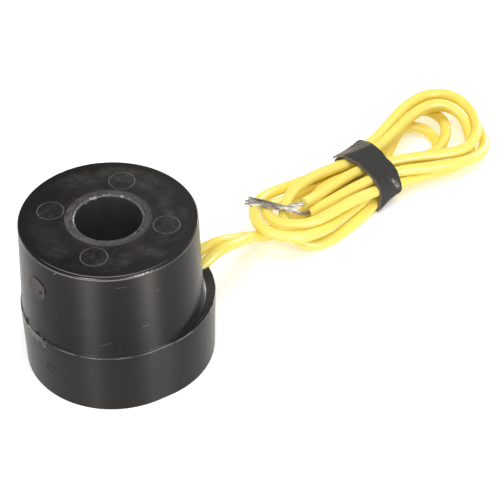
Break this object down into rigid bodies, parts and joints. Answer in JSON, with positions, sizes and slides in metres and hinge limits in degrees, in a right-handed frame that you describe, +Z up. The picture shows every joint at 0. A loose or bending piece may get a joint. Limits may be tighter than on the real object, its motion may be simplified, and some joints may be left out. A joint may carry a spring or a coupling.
{
  "type": "solenoid coil",
  "caption": "Encapsulated round solenoid coil with a through bore and two yellow flying leads, wound in a hank and held by a cloth strap.",
  "frame": {"origin": "on the bore axis, in the plane of the body's lower end face", "axes": "+Z up along the bore; +X and the leads' side to the right, the leads leaving the collar between +X and +Y"},
  "size_m": [0.1373, 0.1145, 0.0424],
  "materials": {
    "moulding": "satin",
    "bobbin_plastic": "satin",
    "copper_winding": "enamelled",
    "tape": "glossy film",
    "tinned_copper": "tinned strands",
    "sleeve": "matte",
    "lead_insulation": "satin",
    "strap": "woven"
  },
  "bodies": {
    "root": {"encapsulation": "moulding", "bobbin": "bobbin_plastic", "winding": "copper_winding", "winding_tape": "tape", "start_tail": "copper_winding", "finish_tail": "copper_winding", "splice_a": "tinned_copper", "splice_b": "tinned_copper", "splice_sleeve_a": "sleeve", "splice_sleeve_b": "sleeve", "lead_a_core": "tinned_copper", "lead_b_core": "tinned_copper", "lead_a_inner": "lead_insulation", "lead_b_inner": "lead_insulation", "lead_a_run": "lead_insulation", "lead_b_run": "lead_insulation", "lead_hank": "lead_insulation", "conductor_end_a": "tinned_copper", "conductor_end_b": "tinned_copper", "tie_strap": "strap"}
  },
  "joints": []
}
